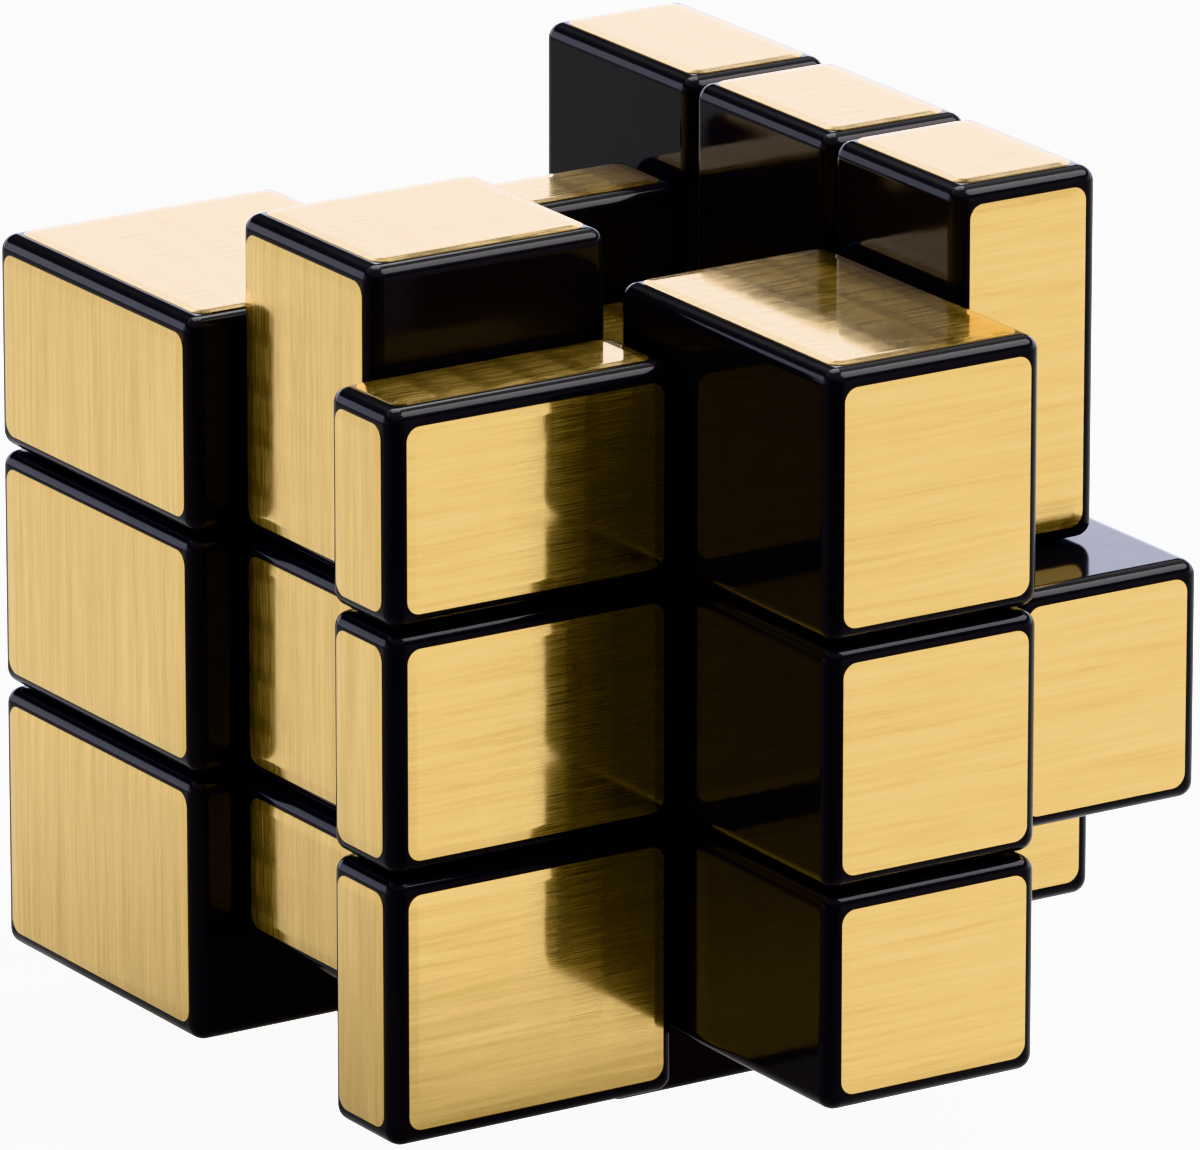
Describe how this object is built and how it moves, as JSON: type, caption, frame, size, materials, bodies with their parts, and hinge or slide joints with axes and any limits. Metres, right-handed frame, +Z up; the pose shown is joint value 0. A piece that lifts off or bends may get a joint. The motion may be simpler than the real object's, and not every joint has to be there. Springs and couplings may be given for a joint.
{
  "type": "mirror block cube puzzle",
  "caption": "Twisty cube puzzle of black blocks with brushed gold faces, told apart by size; shown scrambled into a stepped pile, top and bottom layers turn about the upright axis.",
  "frame": {"origin": "middle of the outer face of the lowest centre block, which the puzzle stands on, straight below the pivot of all layers", "axes": "+Z up along the turning axis of the upper and lower layers; +Y towards the back, along the longest side; +X to the right, along the shortest side"},
  "size_m": [0.061, 0.077, 0.073],
  "materials": {
    "block_plastic": "polished black ABS",
    "inner_plastic": "satin black ABS, as moulded",
    "steel": "zinc-plated steel",
    "gold_foil": "brushed gold metallised foil on each outward face"
  },
  "bodies": {
    "middle_layer": {"core": "inner_plastic", "screw_u": "steel", "screw_d": "steel", "screw_f": "steel", "screw_b": "steel", "screw_l": "steel", "screw_r": "steel", "washer_u": "steel", "washer_d": "steel", "washer_f": "steel", "washer_b": "steel", "washer_l": "steel", "washer_r": "steel", "spring_u": "steel", "spring_d": "steel", "spring_f": "steel", "spring_b": "steel", "spring_l": "steel", "spring_r": "steel", "edge_fl": "block_plastic", "edge_fr": "block_plastic", "edge_bl": "block_plastic", "edge_br": "block_plastic"},
    "upper_layer": {"edge_uf": "block_plastic", "edge_ul": "block_plastic", "edge_ur": "block_plastic", "edge_ub": "block_plastic", "corner_shell_ufl": "block_plastic", "corner_shell_ufr": "block_plastic", "corner_shell_ubl": "block_plastic", "corner_shell_ubr": "block_plastic", "corner_foot_ufl": "inner_plastic", "corner_foot_ufr": "inner_plastic", "corner_foot_ubl": "inner_plastic", "corner_foot_ubr": "inner_plastic"},
    "lower_layer": {"edge_df": "block_plastic", "edge_dl": "block_plastic", "edge_dr": "block_plastic", "edge_db": "block_plastic", "corner_shell_dfl": "block_plastic", "corner_shell_dfr": "block_plastic", "corner_shell_dbl": "block_plastic", "corner_shell_dbr": "block_plastic", "corner_foot_dfl": "inner_plastic", "corner_foot_dfr": "inner_plastic", "corner_foot_dbl": "inner_plastic", "corner_foot_dbr": "inner_plastic"},
    "centre_u": {"centre_cap_u": "block_plastic", "centre_base_u": "inner_plastic"},
    "centre_d": {"centre_cap_d": "block_plastic", "centre_base_d": "inner_plastic"},
    "centre_f": {"centre_cap_f": "block_plastic", "centre_base_f": "inner_plastic"},
    "centre_b": {"centre_cap_b": "block_plastic", "centre_base_b": "inner_plastic"},
    "centre_l": {"centre_cap_l": "block_plastic", "centre_base_l": "inner_plastic"},
    "centre_r": {"centre_cap_r": "block_plastic", "centre_base_r": "inner_plastic"}
  },
  "joints": [
    {"name": "upper_turn", "type": "hinge", "parent": "middle_layer", "child": "upper_layer", "pos_m": [0, 0, 0.0345], "axis": [0, 0, 1], "continuous": true},
    {"name": "lower_turn", "type": "hinge", "parent": "middle_layer", "child": "lower_layer", "pos_m": [0, 0, 0.0345], "axis": [0, 0, 1], "continuous": true},
    {"name": "centre_u_float", "type": "slide", "parent": "upper_layer", "child": "centre_u", "axis": [0, 0, 1], "range_m": [0, 0.0005], "stiffness_N_per_m": 1000, "springref_m": -0.002, "deforming": ["spring_u"]},
    {"name": "centre_d_float", "type": "slide", "parent": "lower_layer", "child": "centre_d", "axis": [0, 0, -1], "range_m": [0, 0.0005], "stiffness_N_per_m": 1000, "springref_m": -0.002, "deforming": ["spring_d"]},
    {"name": "centre_f_float", "type": "slide", "parent": "middle_layer", "child": "centre_f", "axis": [0, -1, 0], "range_m": [0, 0.0005], "stiffness_N_per_m": 1000, "springref_m": -0.002, "deforming": ["spring_f"]},
    {"name": "centre_b_float", "type": "slide", "parent": "middle_layer", "child": "centre_b", "axis": [0, 1, 0], "range_m": [0, 0.0005], "stiffness_N_per_m": 1000, "springref_m": -0.002, "deforming": ["spring_b"]},
    {"name": "centre_l_float", "type": "slide", "parent": "middle_layer", "child": "centre_l", "axis": [-1, 0, 0], "range_m": [0, 0.0005], "stiffness_N_per_m": 1000, "springref_m": -0.002, "deforming": ["spring_l"]},
    {"name": "centre_r_float", "type": "slide", "parent": "middle_layer", "child": "centre_r", "axis": [1, 0, 0], "range_m": [0, 0.0005], "stiffness_N_per_m": 1000, "springref_m": -0.002, "deforming": ["spring_r"]}
  ]
}
